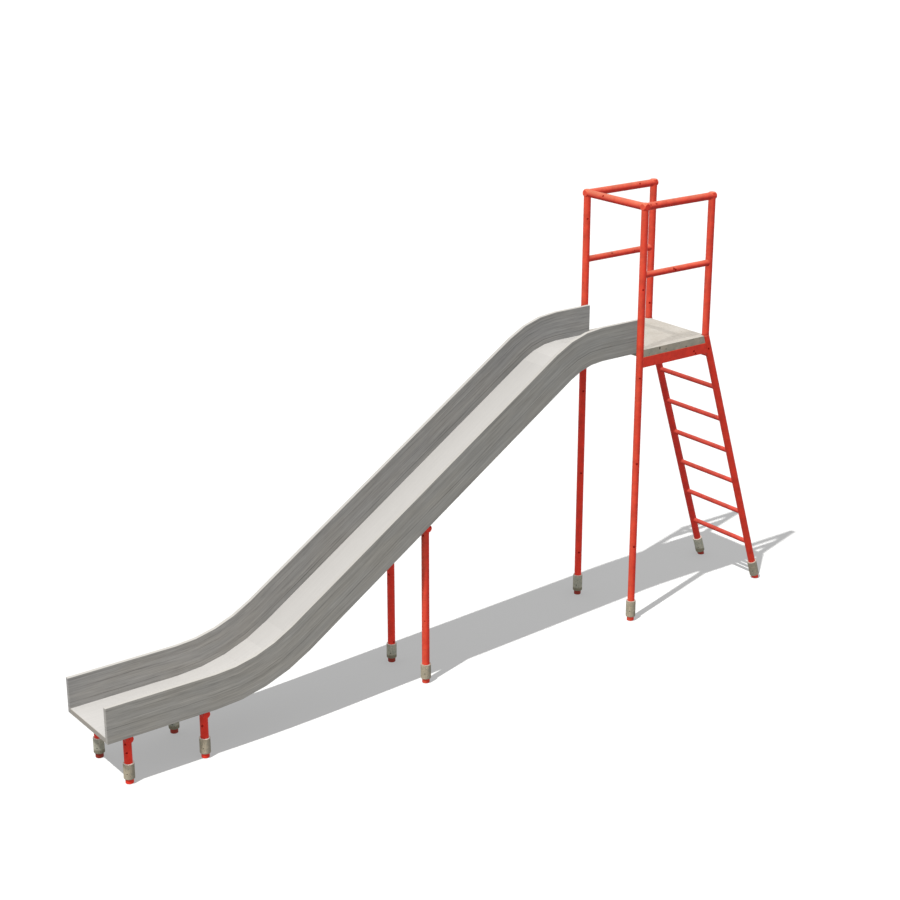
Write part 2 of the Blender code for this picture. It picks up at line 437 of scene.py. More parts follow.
def objectPlace(tree):
    return addNode(tree, "ShaderNodeTexCoord").outputs["Object"]


def surfaceWay(tree):
    return addNode(tree, "ShaderNodeNewGeometry").outputs["Normal"]


def plugIn(tree, shader, colour, rough, height, strength, distance):
    tree.links.new(colour, shader.inputs["Base Color"])
    tree.links.new(rough, shader.inputs["Roughness"])
    bump = addNode(tree, "ShaderNodeBump", {"Strength": strength, "Distance": distance})
    tree.links.new(height, bump.inputs["Height"])
    tree.links.new(bump.outputs["Normal"], shader.inputs["Normal"])


farFeet = ("front_post_right", "front_sleeve_right", "ladder_rail_right", "ladder_sleeve_right",
           "mid_post_right", "mid_sleeve_right", "low_rear_sleeve_right")
weather = {
    "side": (-0.424, -0.097, 0.901),     # where the sun and the rain come from
    # how far the chute and the board have kept each piece from the sun, below a height
    "shelter": {**dict.fromkeys(farFeet, 1), "low_rear_post": 1, "low_front_post": 1,
                "low_front_sleeve_right": 1, "cross_tube": 1, "rung": 0.6},
    "shelterBelow": 1.97,
    # how much darker each piece's red is painted: painted shade of the board on the far ladder rail, the
    # rungs and the bearers, and a darker tone on the rails and rear posts
    "shadeAndDarkTone": {"ladder_rail_right": 0.28, "bearer": 0.01, "rung": 0.25,
              "top_rail": 0.11, "mid_rail": 0.11, "rear_post": 0.05},
    # painted light on the sleeves' top edges: how bright the rims of sleeves standing in shade are painted
    "rimLight": {"low_rear_sleeve": 1, "low_front_sleeve": 1, "mid_sleeve_right": 0.5,
               "ladder_sleeve_right": 0.35, "front_sleeve_right": 0.35},
    # painted shade just above the ground on the feet that stand in shade, and how dark it is
    "stainAndShade": {**dict.fromkeys(farFeet, 1), "low_rear_post_right": 1, "low_front_sleeve_right": 0.45},
    "groundShadeLine": 0.056,
}


def noteWeather(piece, node):
    # notes on each corner how sheltered the piece is, how much darker its red is painted, how much painted
    # shade lies just above the ground, and how much painted light its rim gets
    for note in ("shelter", "shadeAndDarkTone", "stainAndShade", "rimLight"):
        amount = max([share for part, share in weather[note].items() if part in node], default=0)
        corners = piece.data.attributes.new(note, "FLOAT", "POINT")
        corners.data.foreach_set("value", [float(amount)] * len(corners.data))


def weatherTones(tree, place):
    # how squarely the surface faces the sun, how sheltered it is, and where painted shade lies just above
    # the ground
    height = partsOf(tree, place)["Z"]
    facing = measure(tree, "DOT_PRODUCT", surfaceWay(tree), weather["side"])
    under = remap(tree, height, weather["shelterBelow"] + 0.03, weather["shelterBelow"])
    groundShade = remap(tree, height, weather["groundShadeLine"] + 0.008, weather["groundShadeLine"] - 0.006)
    return facing, times(tree, noted(tree, "shelter"), under), times(tree, noted(tree, "stainAndShade"), groundShade)


redPaintLook = {
    "colour": (0.890, 0.036, 0.016),
    "sunlitFaded": (0.680, 0.162, 0.080),      # orange on the side facing the sun: painted sunlight, and paint faded there
    "shadeAndDarkTone": (0.0, 0.06, 0.9),           # what the full darkening would leave of the paint's colour
    "sideShade": 0.85,                     # painted shade: how much darker the paint is on the side turned from the sun
    "sideShadeFacing": (0.08, 0.38),           # where that side begins and ends
    "sideShadeSheltered": 0.2,                 # share of that painted shade on a sheltered piece
    "seam": 0.30,                        # a dark line in the mitre at the foot of each rear post
    "seamLift": 0.009,                   # how far above the board it lies
    "seamHalf": (0.008, 0.003),          # half its width, faint and full
    "shadeSunlitShare": 0.12,                   # share of the painted sunlight and fading that reaches sheltered paint
    "chip": (0.270, 0.002, 0.001),       # dull old coat in a chip
    # painted shade on the feet just above the ground
    "stainAndShade": (0.300, 0.027, 0.013),
    "roughness": (0.38, 0.56),
    "shine": (0.32, 0.04),               # of whole paint and of a chip
    "mottling": 0.53,
    # the bigger chips, one by one
    "chipPlaces": [
        (1.381, -0.311, 2.427), (1.381, -0.311, 1.808), (1.381, -0.311, 1.189), (1.381, -0.311, 0.571),
        (1.382, 0.266, 2.809), (1.382, 0.266, 1.571), (1.382, 0.266, 0.953), (1.382, 0.265, 0.336),
        (1.673, -0.309, 2.524), (1.474, -0.311, 2.997), (1.370, 0.105, 2.997), (1.857, 0.266, 2.997),
        (-0.372, 0.186, 0.645), (-0.344, 0.171, 0.150), (-2.554, -0.212, 0.266), (1.893, -0.3, 1.909),
        (1.909, -0.3, 1.890), (2.025, -0.309, 1.907), (1.982, 0.268, 2.163), (1.993, 0.268, 2.118),
        (1.622, 0.272, 2.537), (1.660, -0.306, 2.532), (1.986, -0.303, 2.508), (1.424, -0.310, 2.999),
        (-0.373, -0.205, 1.053), (-2.038, -0.210, 0.221), (-2.551, -0.214, 0.208)],
    "chipRadius": 0.0084,
    "chipGrid": 30,                      # possible small chips in a metre
    "chipSize": 0.13,
    "chipCore": 0.7,                     # share of a chip's radius that is wholly bare
    "chipShare": 0.86,                   # share of the small chips that stay whole
}


def makeRedPaint():
    look = redPaintLook
    material, tree, shader = newMaterial("oldRedPaint", look["colour"], 0.45)
    place = objectPlace(tree)
    facing, shelter, stainAndShade = weatherTones(tree, place)
    # painted sunlight: orange where the surface faces the sun, also paint faded there
    patches = noiseOn(tree, place, 9, 5, 0.6)
    sunlitFading = times(tree, remap(tree, facing, 0.06, 1.0), remap(tree, patches, 0.3, 0.7, 0.76, 1.24))
    sunlitFading = times(tree, sunlitFading, remap(tree, shelter, 0, 1, 1, look["shadeSunlitShare"]))
    colour = blendColour(tree, sunlitFading, look["colour"], look["sunlitFaded"])
    # mottled by dust, with runs down the tubes
    mottles = noiseOn(tree, place, 17, 6, 0.68)
    runs = noiseOn(tree, place, 1, 3, 0.6, (85.0, 85.0, 12.0))
    mottling = look["mottling"]
    tone = sums(tree, "ADD", times(tree, mottles, mottling * 1.7), times(tree, runs, mottling * 0.6))
    colour = tinted(tree, colour, sums(tree, "ADD", tone, 1 - mottling * 1.15))
    # each piece painted darker by its own amount: painted shade under the board, a darker tone elsewhere
    colour = tinted(tree, colour, look["shadeAndDarkTone"], noted(tree, "shadeAndDarkTone"))
    # painted shade on the feet just above the ground
    colour = blendColour(tree, stainAndShade, colour, look["stainAndShade"])
    # painted shade: darker on the side turned from the sun
    turnedAwayShade = remap(tree, facing, *look["sideShadeFacing"], look["sideShade"], 1.0)
    colour = tinted(tree, colour, turnedAwayShade, remap(tree, shelter, 0, 1, 1, look["sideShadeSheltered"]))
    # a dark line where the rear posts are mitred onto the ladder rails
    seamPlace = Vector((rearX, 0, boardHigh.z + look["seamLift"]))
    along = measure(tree, "DOT_PRODUCT", place, mitreWay)
    off = sums(tree, "SUBTRACT", along, mitreWay.dot(seamPlace))
    seam = remap(tree, sums(tree, "ABSOLUTE", off, 0), *look["seamHalf"], 0, look["seam"])
    seam = times(tree, seam, remap(tree, partsOf(tree, place)["X"], rearX - 0.07, rearX - 0.06))
    colour = blendColour(tree, seam, colour, look["chip"])
    # small ragged chips
    ragged = addNode(tree, "ShaderNodeTexNoise", {"Scale": 130.0, "Detail": 3.0})
    tree.links.new(place, ragged.inputs["Vector"])
    shifted = blendColour(tree, 0.010, place, ragged.outputs["Color"], "LINEAR_LIGHT")
    cells = addNode(tree, "ShaderNodeTexVoronoi", {"Scale": float(look["chipGrid"])})
    tree.links.new(shifted, cells.inputs["Vector"])
    chance = addNode(tree, "ShaderNodeSeparateColor")
    tree.links.new(cells.outputs["Color"], chance.inputs[0])
    near = remap(tree, cells.outputs["Distance"], look["chipSize"], look["chipSize"] * look["chipCore"])
    chips = times(tree, near, sums(tree, "GREATER_THAN", chance.outputs[0], look["chipShare"]))
    for chipPlace in look["chipPlaces"]:
        away = measure(tree, "DISTANCE", shifted, chipPlace)
        chip = remap(tree, away, look["chipRadius"], look["chipRadius"] * look["chipCore"])
        chips = sums(tree, "MAXIMUM", chips, chip)
    colour = blendColour(tree, chips, colour, look["chip"])
    gloss = remap(tree, noiseOn(tree, place, 22, 4), 0.3, 0.75, *look["roughness"])
    rough = sums(tree, "ADD", gloss, times(tree, chips, 0.4))
    peel = sums(tree, "SUBTRACT", noiseOn(tree, place, 160, 2), times(tree, chips, 0.8))
    plugIn(tree, shader, colour, rough, peel, 0.25, 0.0006)
    tree.links.new(remap(tree, chips, 0, 1, *look["shine"]), shader.inputs["Specular IOR Level"])
    return material


chuteLook = {
    "grey": (0.389, 0.378, 0.352),
    "coolGrey": (0.328, 0.325, 0.310),   # near the platform
    "warmPatches": (1.015, 1.0, 0.975),
    "farShade": (0.905, 0.915, 0.955),   # painted shade: the right wall is painted a little darker and colder
    "rim": (0.448, 0.432, 0.404),        # top edges and ends painted paler: rubbed wear, and painted light on faces turned to the light
    "bed": (0.484, 0.471, 0.455),
    "bedEnd": (0.360, 0.336, 0.298),     # the bed's front edge
    "levelLightGain": 1.14,                  # painted light: how much paler the level lengths are painted than the slope
    # long lines on a side wall: height above the bed, half width, how much darker or paler,
    # and how unbroken
    "lines": [
        (0.058, 0.0038, -0.42, 0.6), (0.076, 0.0036, -0.24, -0.5), (0.146, 0.0045, -0.22, -0.4),
        (0.182, 0.0055, -0.22, 0.0), (0.209, 0.0060, -0.20, -0.2), (0.067, 0.0036, 0.12, -0.2),
        (0.088, 0.0060, 0.19, 0.1), (0.158, 0.0060, 0.16, -0.1), (0.036, 0.0050, 0.10, -0.8)],
    "lineWander": 0.016,
    "farDrop": 0.022,                    # the same lines run this much lower on the right wall
    # streaks: lengths and heights as waves in a metre, and how much each set shows
    "broad": ((0.9, 2.0, 36.0), 0.42),
    "middling": ((2.0, 4.0, 110.0), 0.66),
    "fine": ((7.0, 6.0, 210.0), 0.86),
    "bedStreaks": [((1.1, 3.0, 1.0), 0.10), ((2.6, 60.0, 1.0), 0.14), ((9.0, 210.0, 1.0), 0.12)],
}


def levelPaintedLight(tree):
    # painted light: paler where the surface turns up towards the light from above
    up = partsOf(tree, surfaceWay(tree))["Z"]
    return remap(tree, up, math.cos(chute["slope"]), 1.0, 1.0, chuteLook["levelLightGain"])


def speckled(tree, colour, speckles):
    # lays tones over a colour, each where a noise runs from a start to a full value
    for noise, start, full, share, tone in speckles:
        colour = blendColour(tree, remap(tree, noise, start, full, 0, share), colour, tone)
    return colour


def streakTone(tree, place, sets):
    # one plus the streaks, to multiply a colour by
    total = 1.0 - sum(share for _, share in sets) / 2
    for stretch, share in sets:
        streaks = noiseOn(tree, place, 1, 4, 0.6, stretch)
        total = sums(tree, "ADD", times(tree, streaks, share), total)
    return total


def makeWallGrey():
    look = chuteLook
    material, tree, shader = newMaterial("streakedWall", look["grey"], 0.55, **{"Specular IOR Level": 0.3})
    flat = noted(tree, "flatPlace", "Vector")
    run, across, height = partsOf(tree, flat)
    right = remap(tree, across, 0.0, 0.01)
    colour = blendColour(tree, remap(tree, run, 0.0, 3.4), look["coolGrey"], look["grey"])
    warm = remap(tree, noiseOn(tree, flat, 1, 3, 0.5, (3.5, 1.0, 14.0)), 0.4, 0.62)
    colour = tinted(tree, colour, look["warmPatches"], warm)
    tone = streakTone(tree, flat, [look["broad"], look["middling"], look["fine"]])
    # long lines wander along the wall and break up here and there
    level = sums(tree, "ADD", height, times(tree, right, look["farDrop"]))
    for index, (lineHeight, half, depth, unbroken) in enumerate(look["lines"]):
        wander = noiseOn(tree, flat, 1, 2, 0.5, (1.9, 0.0, 0.0), 5.3 * index)
        wander = times(tree, wander, look["lineWander"])
        line = sums(tree, "ADD", wander, lineHeight - look["lineWander"] / 2)
        away = sums(tree, "ABSOLUTE", sums(tree, "SUBTRACT", level, line), 0)
        breaks = noiseOn(tree, flat, 1, 4, 0.65, (7.0, 0.0, 9.0), 3.7 * index)
        whole = sums(tree, "MAXIMUM", remap(tree, breaks, 0.34, 0.62, unbroken, 1.0), 0)
        amount = times(tree, remap(tree, away, half, 0.0006), whole)
        tone = sums(tree, "ADD", tone, times(tree, amount, depth))
    colour = tinted(tree, colour, tone)
    # painted shade on the right wall
    colour = tinted(tree, colour, look["farShade"], right)
    # rims, and on the left wall its end, painted paler: rubbed wear, and painted light on faces turned to
    # the light
    top = remap(tree, height, chute["wallHeight"] - 0.0016, chute["wallHeight"] - 0.0004)
    end = remap(tree, run, wholeRun - 0.0014, wholeRun - 0.0004, 0, 0.4)
    end = times(tree, end, remap(tree, right, 1, 0))
    rim = tinted(tree, look["rim"], levelPaintedLight(tree))
    colour = blendColour(tree, sums(tree, "MAXIMUM", top, end), colour, rim)
    plugIn(tree, shader, colour, remap(tree, tone, 0.8, 1.2, 0.62, 0.48), tone, 0.2, 0.0006)
    return material


def makeBedPale():
    look = chuteLook
    material, tree, shader = newMaterial("slidBed", look["bed"], 0.5, **{"Specular IOR Level": 0.3})
    flat = noted(tree, "flatPlace", "Vector")
    run, _, height = partsOf(tree, flat)
    tone = streakTone(tree, flat, look["bedStreaks"])
    # streaks, and painted light on the level lengths
    colour = tinted(tree, look["bed"], times(tree, tone, levelPaintedLight(tree)))
    end = remap(tree, run, wholeRun - 0.0014, wholeRun - 0.0004)
    under = remap(tree, height, -0.0014, -0.0024)
    colour = blendColour(tree, sums(tree, "MAXIMUM", end, under), colour, look["bedEnd"])
    plugIn(tree, shader, colour, remap(tree, tone, 0.9, 1.1, 0.56, 0.44), tone, 0.15, 0.0005)
    return material


boardLook = {
    "top": (0.447, 0.411, 0.363),
    "topPale": (0.512, 0.479, 0.434),
    "side": (0.440, 0.386, 0.306),
    "stainAndShade": (0.270, 0.265, 0.215),
    # near black in the pits: dirt, and painted shade in the hollows
    "pit": (0.052, 0.042, 0.032),
    "wornAndLitEdge": (0.62, 0.595, 0.54),
}


def makeBoardStone():
    look = boardLook
    material, tree, shader = newMaterial("castBoard", look["top"], 0.85)
    place = objectPlace(tree)
    patches = noiseOn(tree, place, 9, 5)
    clumps = noiseOn(tree, place, 48, 4, 0.6)
    grains = noiseOn(tree, place, 140, 3, 0.6)
    up = partsOf(tree, surfaceWay(tree))["Z"]
    topTone = blendColour(tree, remap(tree, patches, 0.35, 0.7), look["top"], look["topPale"])
    sideTone = blendColour(tree, remap(tree, patches, 0.35, 0.68), look["side"], look["stainAndShade"])
    # the sides come out darker than the top: partly painted shade on faces turned from the light
    colour = blendColour(tree, remap(tree, up, 0.35, 0.9), sideTone, topTone)
    colour = speckled(tree, colour, [
        (clumps, 0.47, 0.32, 0.30, look["stainAndShade"]), (clumps, 0.53, 0.68, 0.35, look["topPale"]),
        (grains, 0.42, 0.28, 0.50, look["stainAndShade"]), (grains, 0.60, 0.75, 0.30, look["topPale"])])
    # the edges are painted pale where the face turns over: rubbed wear, and a painted highlight on the
    # rounded edge
    turning = times(tree, remap(tree, up, 0.2, 0.5), remap(tree, up, 0.97, 0.85))
    colour = blendColour(tree, turning, colour, look["wornAndLitEdge"])
    rough = remap(tree, grains, 0.3, 0.7, 0.92, 0.78)
    plugIn(tree, shader, colour, rough, sums(tree, "ADD", grains, patches), 0.35, 0.0012)
    return material


def makePitDirtAndShade():
    # the pits' near black: dirt, and painted shade in the hollows
    material, tree, shader = newMaterial("dirtAndShadeInPits", boardLook["pit"], 0.95)
    grit = remap(tree, noiseOn(tree, objectPlace(tree), 300, 2), 0.4, 1.0)
    colour = blendColour(tree, grit, boardLook["pit"], boardLook["stainAndShade"])
    tree.links.new(colour, shader.inputs["Base Color"])
    return material


sleeveLook = {
    "clay": (0.356, 0.310, 0.233),
    "moss": (0.250, 0.242, 0.190),
    "pale": (0.480, 0.425, 0.330),
    "sunlitBleach": (1.38, 1.34, 1.27),        # painted sunlight, and bleached stone: tint of the side facing the sun
    "shadeLift": (1.22, 1.32, 1.38),         # painted fill light: lightens and cools a sleeve that stands in the chute's shade
    # painted shade on the feet just above the ground
    "stainAndShade": (0.56, 0.52, 0.46),
    "rim": (0.45, 0.36, 0.30),
    # painted light: the bright rim of a sleeve that stands in shade
    "litRim": (0.95, 0.77, 0.70),
}


def makeSleeveStone():
    look = sleeveLook
    material, tree, shader = newMaterial("castSleeve", look["clay"], 0.88)
    place = objectPlace(tree)
    facing, shelter, stainAndShade = weatherTones(tree, place)
    patches = noiseOn(tree, place, 34, 5, 0.6)
    clumps = noiseOn(tree, place, 120, 3, 0.6)
    grains = noiseOn(tree, place, 300, 3, 0.6)
    runs = noiseOn(tree, place, 1, 3, 0.5, (60.0, 60.0, 14.0))
    colour = blendColour(tree, remap(tree, patches, 0.38, 0.66), look["clay"], look["moss"])
    colour = speckled(tree, colour, [
        (runs, 0.52, 0.70, 0.6, look["pale"]), (clumps, 0.46, 0.33, 0.6, look["moss"]),
        (clumps, 0.54, 0.68, 0.5, look["pale"]), (grains, 0.40, 0.28, 0.5, look["moss"])])
    # painted sunlight and bleaching on the side facing the sun; painted fill light on a sleeve in the
    # chute's shade
    sunlitBleach = blendColour(tree, remap(tree, facing, 0.0, 0.42), (1.0, 1.0, 1.0), look["sunlitBleach"])
    colour = tinted(tree, colour, blendColour(tree, shelter, sunlitBleach, look["shadeLift"]))
    # painted shade just above the ground; the top edge pale, and painted brighter still, as painted light,
    # on sleeves that stand in shade
    colour = tinted(tree, colour, look["stainAndShade"], stainAndShade)
    rim = blendColour(tree, noted(tree, "rimLight"), look["rim"], look["litRim"])
    up = partsOf(tree, surfaceWay(tree))["Z"]
    colour = blendColour(tree, remap(tree, up, 0.40, 0.80), colour, rim)
    rough = remap(tree, grains, 0.3, 0.7, 0.95, 0.82)
    plugIn(tree, shader, colour, rough, sums(tree, "ADD", clumps, patches), 0.5, 0.0014)
    return material


redPaint = makeRedPaint()
wallGrey = makeWallGrey()
bedPale = makeBedPale()
boardStone = makeBoardStone()
pitDirtAndShade = makePitDirtAndShade()
sleeveStone = makeSleeveStone()
print("materials ready")


# Tower posts and rails

tower = {
    "postWear": 0.0005,         # how much thinner the upright posts are than the other tubes
    "knuckleRound": 0.006,      # rounding of the closed tube ends at the top corners
    "neck": 0.002,              # how far a knuckle reaches past the side of its post
    "neckBead": 0.0016,
    "beadSink": 0.0013,         # how deep a bead's centre lies in its tube
    "mitreBead": 0.0012,
    "mitreLift": 0.0016,        # how far that bead lies below the mitre
    "midRailPaint": 0.0007,     # extra coats on the mid rails
}
postRadius = tubeRadius - tower["postWear"]


def makeFrontPosts():
    # a post with a knuckle for the two top rails that meet on it
    y = -postY
    proud = frameTopZ - topRailZ
    inner = tubeRadius + tower["neck"]
    post = addTube((frontX, y, 0), (frontX, y, frameTopZ), postRadius)
    roundEnds(post, [(frontX, y, 0)])
    roundEnds(post, [(frontX, y, frameTopZ)], tower["knuckleRound"])
    alongX = addTube((frontX - proud, y, topRailZ), (frontX + inner, y, topRailZ))
    roundEnds(alongX, [(frontX - proud, y, topRailZ)], tower["knuckleRound"])
    alongY = addTube((frontX, y - proud, topRailZ), (frontX, y + inner, topRailZ))
    roundEnds(alongY, [(frontX, y - proud, topRailZ)], tower["knuckleRound"])
    combine(post, [alongX, alongY], "UNION")
    finishPair(post, mirroredCopy(post), "frontPost", "front_post")


def makeRearPosts():
    # a post mitred at its foot onto the leaning ladder rail
    y = -postY
    kink = Vector((rearX, y, boardHigh.z))
    proud = frameTopZ - topRailZ
    inner = tubeRadius + tower["neck"]
    rear = addTube(kink - Vector((0, 0, tubes["spare"])), (rearX, y, frameTopZ), postRadius)
    roundEnds(rear, [(rearX, y, frameTopZ)], tower["knuckleRound"])
    sliceOff(rear, kink - mitreWay * tubes["gap"], mitreWay)
    cap = addTube((rearX - inner, y, topRailZ), (rearX + proud, y, topRailZ))
    roundEnds(cap, [(rearX + proud, y, topRailZ)], tower["knuckleRound"])
    combine(rear, [cap], "UNION")
    # ladder rail, from the ground up to the mitre
    foot = ladderPoint(0, y)
    rail = addTube(foot - ladderUp * tubes["spare"], kink + ladderUp * tubes["spare"])
    sliceOff(rail, kink, -mitreWay)
    sliceOff(rail, foot, (0, 0, -1))
    roundEnds(rail, [foot])
    bead = ringBead(kink + mitreWay * tower["mitreLift"], mitreWay, tubeRadius, tower["mitreBead"])
    combine(rail, [bead], "UNION")
    finishPair(rear, farCopy(rear), "rearPost", "rear_post")
    finishPair(rail, farCopy(rail), "ladderRail", "ladder_rail")


def weldedRail(start, end):
    # a tube with a weld at each end, just inside its length
    bead = tower["neckBead"]
    ring = tubeRadius - tower["beadSink"]
    along = (end - start).normalized()
    rail = addTube(start, end)
    combine(rail, [ringBead(start + along * bead, along, ring, bead),
                   ringBead(end - along * bead, along, ring, bead)], "UNION")
    return rail


def makeTopRails():
    neck = tubeRadius + tower["neck"] + tubes["gap"]
    rail = weldedRail(Vector((frontX + neck, -postY, topRailZ)), Vector((rearX - neck, -postY, topRailZ)))
    finishPair(rail, farCopy(rail), "topRail", "top_rail")
    front = weldedRail(Vector((frontX, neck - postY, topRailZ)), Vector((frontX, postY - neck, topRailZ)))
    finishPiece(front, "topRail_front", "top_rail_front", redPaint)


def saddledTube(start, end, radius, seatWay):
    # a tube welded between two others, and cut to sit on them
    along = (end - start).normalized()
    tube = addTube(start, end, radius)
    combine(tube, [saddleBead(start, along, seatWay, tubeRadius, radius),
                   saddleBead(end, -along, seatWay, tubeRadius, radius)], "UNION")
    seatReach = Vector(seatWay) * tubes["overrun"]
    combine(tube, [addTube(place - seatReach, place + seatReach, tubeRadius + tubes["gap"])
                   for place in (start, end)], "DIFFERENCE")
    return tube


def makeMidRails():
    rail = saddledTube(Vector((frontX, -postY, midRailZ)), Vector((rearX, -postY, midRailZ)),
                       midRailRadius + tower["midRailPaint"], (0, 0, 1))
    finishPair(rail, farCopy(rail), "midRail", "mid_rail")


def makeRungs():
    heights = [middle(node).z for node in rungNodes]
    first = ladderPoint(heights[0])
    rung = saddledTube(ladderPoint(heights[0], -postY), ladderPoint(heights[0], postY),
                       rungRadius, ladderUp)
    rungs = [rung] + [copyOf(rung, ladderPoint(height) - first) for height in heights[1:]]
    for number, (rung, node) in enumerate(zip(rungs, rungNodes), 1):
        finishPiece(rung, f"rung_{number}_welded", node, redPaint)


makeFrontPosts()
makeRearPosts()
makeTopRails()
makeMidRails()
makeRungs()
print("tower frame and ladder done")


# Platform

platform = {
    "boardRound": 0.0035,
    "bearerRound": 0.0016,
    "notchGap": 0.0026,
    "seamWeld": 0.0028,
    "weldOff": 0.001,           # how far a seam's middle stands off its tube
    "weldShort": 0.002,         # how far it ends from the bearer's edges
    # how far outside a pit's middle lies, in shares of its radius
    "sidePitOut": 0.35,
    "topPitOut": 0.5,
    "topPitDrawn": 1.2,
    # pits: shares of a long side's length and height, radius and how drawn out
    "sidePits": [
        (0.28, 0.70, 0.0088, 0.8), (0.376, 0.416, 0.0048, 1.0), (0.573, 0.712, 0.0036, 1.0),
        (0.685, 0.15, 0.0062, 1.4), (0.791, 0.90, 0.0050, 1.9), (0.12, 0.32, 0.0030, 1.2),
        (0.905, 0.42, 0.0028, 1.3)],
    "topPits": [
        (0.14, 0.22, 0.0024), (0.32, 0.71, 0.0030), (0.47, 0.38, 0.0021), (0.58, 0.83, 0.0026),
        (0.66, 0.17, 0.0032), (0.81, 0.55, 0.0024), (0.88, 0.29, 0.0028), (0.23, 0.52, 0.0020)],
}


def addBlock(low, high):
    low = Vector(low)
    high = Vector(high)
    clearSelection()
    bpy.ops.mesh.primitive_cube_add(size=1, location=(low + high) / 2)
    block = bpy.context.object
    block.scale = high - low
    fixPlace()
    return block


def roundEdges(piece, width, segments=3, angle=40):
    bevel = piece.modifiers.new("round", "BEVEL")
    bevel.width = width
    bevel.segments = segments
    bevel.limit_method = "ANGLE"
    bevel.angle_limit = math.radians(angle)
    bevel.use_clamp_overlap = True
    applyAll(piece)
    return piece


def addPit(place, radius, squash=(1, 1, 1)):
    clearSelection()
    bpy.ops.mesh.primitive_ico_sphere_add(subdivisions=2, radius=radius, location=place)
    pit = bpy.context.object
    pit.scale = squash
    fixPlace()
    pit.data.materials.append(None)
    pit.data.materials[0] = pitDirtAndShade
    return pit


def towerTubes(low, high, y, clearance):
    # a front post and the ladder rail behind it, as cutters
    low -= tubes["overrun"]
    high += tubes["overrun"]
    radius = tubeRadius + clearance
    return [addTube((frontX, y, low), (frontX, y, high), radius),
            addTube(ladderPoint(low, y), ladderPoint(high, y), radius)]


def makeBoard():
    board = addBlock(boardLow, boardHigh)
    roundEdges(board, platform["boardRound"])
    board.data.materials.append(boardStone)
    length = boardHigh.x - boardLow.x
    width = boardHigh.y - boardLow.y
    thick = boardHigh.z - boardLow.z
    pits = []
    for along, up, radius, drawn in platform["sidePits"]:
        for sign in sides.values():
            share = along if sign < 0 else 1 - along
            out = width / 2 + radius * platform["sidePitOut"]
            place = (boardLow.x + share * length, sign * out, boardLow.z + up * thick)
            pits.append(addPit(place, radius, (drawn, 1, 1 / drawn)))
    for along, across, radius in platform["topPits"]:
        place = (boardLow.x + along * length, boardLow.y + across * width,
                 boardHigh.z + radius * platform["topPitOut"])
        pits.append(addPit(place, radius, (platform["topPitDrawn"], 1, 1)))
    combine(board, pits, "DIFFERENCE")
    combine(board, [cutter for y in (-postY, postY) for cutter in towerTubes(
        boardLow.z, boardHigh.z, y, platform["notchGap"])], "DIFFERENCE")
    finishPiece(board, "castPlatformBoard", "platform_board", boardStone, 40, [pitDirtAndShade])


def makeBearers():
    low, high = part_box("platform_bearer_left")
    bearer = addBlock((frontX, low.y, low.z), (rearX + tubeRadius, high.y, high.z))
    roundEdges(bearer, platform["bearerRound"])
    halfThick = (high.y - low.y) / 2
    reach = math.sqrt(tubeRadius ** 2 - halfThick ** 2)
    front = Vector((frontX + reach + platform["weldOff"], 0, 0))
    back = Vector((reach / math.cos(ladderLean) + platform["weldOff"], 0, 0))
    welds = []
    bottom = low.z + platform["weldShort"]
    top = high.z - platform["weldShort"]
    weld = platform["seamWeld"]
    for face in (-1, 1):
        faceY = -postY + face * halfThick
        welds.append(addTube(front + Vector((0, faceY, bottom)), front + Vector((0, faceY, top)), weld, 12))
        welds.append(addTube(ladderPoint(bottom, faceY) - back, ladderPoint(top, faceY) - back, weld, 12))
    combine(bearer, welds, "UNION")
    combine(bearer, towerTubes(low.z, high.z, -postY, tubes["gap"]), "DIFFERENCE")
    finishPair(bearer, farCopy(bearer), "bearer", "platform_bearer")


makeBoard()
makeBearers()
print("platform done")


# Chute

def layFlatPlaces(piece):
    # notes for each corner where it would lie if the chute were straight: run, across, height
    places = piece.data.attributes.new("flatPlace", "FLOAT_VECTOR", "POINT")
    for corner, place in zip(piece.data.vertices, places.data):
        best = None
        for x, z, angle, run in stations:
            right = corner.co.x - x
            up = corner.co.z - z
            off = abs(right * math.cos(angle) + up * math.sin(angle))
            if best is None or off < best[0]:
                best = (off, run, up * math.cos(angle) - right * math.sin(angle))
        place.vector = (best[1], corner.co.y, best[2])


def makePlank(nearY, farY, low, high):
    # a block for the first level length, extruded on from flat to flat and tilted at each joint
    x, z = stations[0][:2]
    plank = addBlock((stations[1][0], nearY, z + low), (x, farY, z + high))
    startEdit(plank, "FACE")
    pick(plank, "FACE", lambda face: face.normal.x < -0.9)
    for (x0, z0, angle0, _), (x1, z1, angle1, _) in zip(stations[1:], stations[2:]):
        bpy.ops.mesh.extrude_region_move(TRANSFORM_OT_translate={"value": (x1 - x0, 0, z1 - z0)})
        # with no window a turn runs backwards, so a steeper joint is a positive angle
        bpy.ops.transform.rotate(
            value=angle1 - angle0, orient_axis="Y", orient_type="GLOBAL", center_override=(x1, 0, z1))
    endEdit()
    return plank


def creaseJoints(piece):
    # the joints between flat lengths stay crisp
    runs = [item.vector[0] for item in piece.data.attributes["flatPlace"].data]
    for edge in piece.data.edges:
        first, second = (runs[corner] for corner in edge.vertices)
        if abs(first - second) < 1e-6:
            edge.use_edge_sharp = True


def finishPlank(plank, name, node, material):
    layFlatPlaces(plank)
    finishPiece(plank, name, node, material, crease=creaseJoints)


